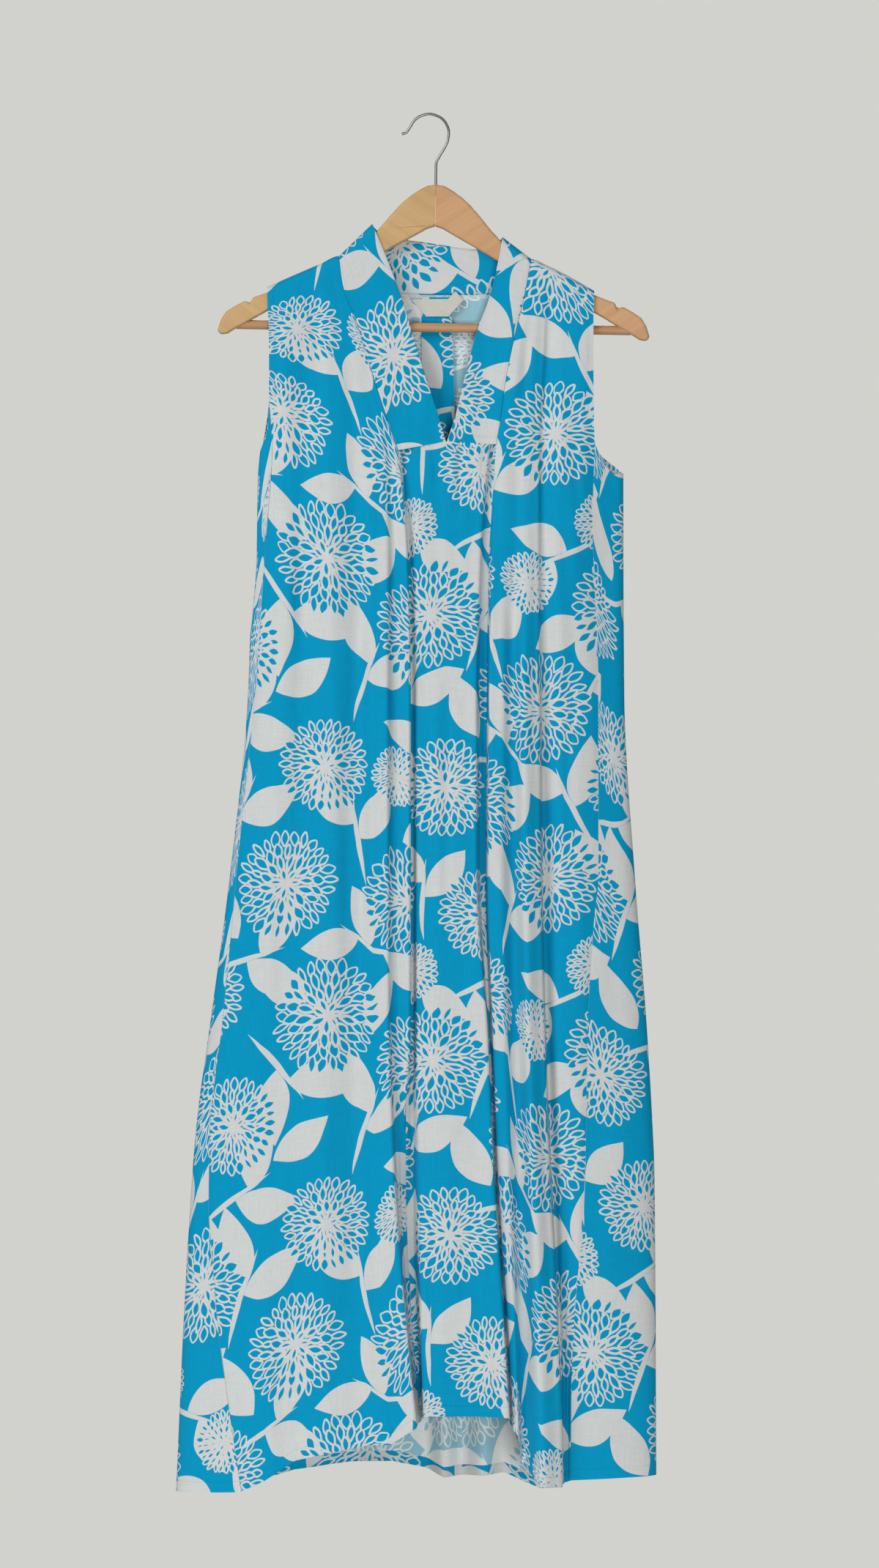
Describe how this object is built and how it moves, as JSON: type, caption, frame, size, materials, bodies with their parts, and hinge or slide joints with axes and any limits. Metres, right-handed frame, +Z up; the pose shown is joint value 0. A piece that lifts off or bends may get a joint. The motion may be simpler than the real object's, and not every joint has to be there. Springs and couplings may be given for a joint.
{
  "type": "sleeveless dress hanging on a wooden hanger",
  "caption": "Long sleeveless dress with a wrapped V neckband, princess seams and a longer back hem, hanging on a wooden hanger with a bar and a wire hook.",
  "frame": {"origin": "the underside of the hook's crown, where the hook hangs on a rail", "axes": "+Z up, -Y out of the front of the dress, +X to the right of someone who looks at its front"},
  "size_m": [0.495, 0.0905, 1.4217],
  "materials": {
    "printed_cloth": "matte slub weave, turquoise printed with off-white blooms and leaves",
    "neckband_cloth": "the same cloth, doubled and topstitched",
    "label_ribbon": "smooth off-white ribbon, bare",
    "wood_left": "satin lacquer",
    "wood_right": "satin lacquer",
    "wood_bar": "satin lacquer",
    "chrome_wire": "bright"
  },
  "bodies": {
    "root": {"front_centre": "printed_cloth", "front_left": "printed_cloth", "front_right": "printed_cloth", "side_left": "printed_cloth", "side_right": "printed_cloth", "back_left": "printed_cloth", "back_right": "printed_cloth", "back_facing": "printed_cloth", "neckband_left": "neckband_cloth", "neckband_right": "neckband_cloth", "collar_back": "neckband_cloth", "label": "label_ribbon", "hanger_arm_left": "wood_left", "hanger_arm_right": "wood_right", "hanger_bar": "wood_bar", "hook": "chrome_wire"}
  },
  "joints": []
}
